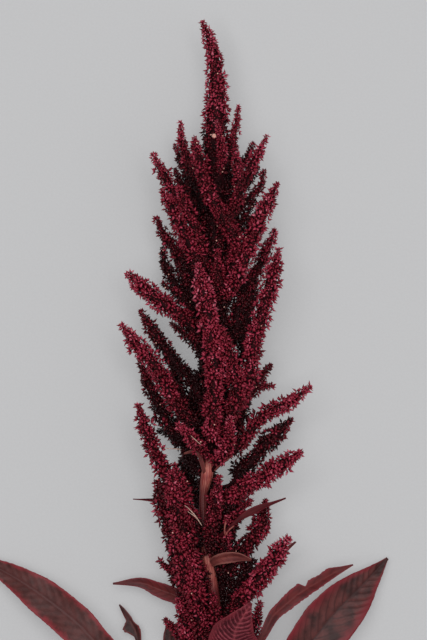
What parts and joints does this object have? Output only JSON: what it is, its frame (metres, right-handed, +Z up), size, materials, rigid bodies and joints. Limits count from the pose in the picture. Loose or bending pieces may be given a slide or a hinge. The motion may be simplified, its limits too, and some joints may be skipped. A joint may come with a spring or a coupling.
{
  "type": "amaranth seed head",
  "caption": "Dark crimson amaranth seed head of many floret spikes on a ribbed stem with purple leaves, cut and lying on its back.",
  "frame": {"origin": "on the surface that the plant lies on, on the flat underside of the spike under the middle of the head's axis", "axes": "+Y along the stem towards the head's tip, +X across the plant, +Z up, away from the surface"},
  "size_m": [0.2366, 0.3864, 0.0549],
  "materials": {
    "florets": "matt, with a fine broken sheen",
    "stem": "satin, ribbed",
    "leaf": "satin",
    "leaf_rose": "satin"
  },
  "bodies": {
    "root": {"seed_head": "florets", "stem": "stem", "leaf_curled": "leaf", "leaf_left_thin": "leaf", "leaf_right_small": "leaf", "leaf_front_small": "leaf_rose", "leaf_left_mid": "leaf", "leaf_left_torn": "leaf", "leaf_left_large": "leaf", "leaf_right_torn": "leaf", "leaf_right_large": "leaf", "leaf_right_back": "leaf", "leaf_front_large": "leaf_rose", "leaf_left_back": "leaf"}
  },
  "joints": []
}
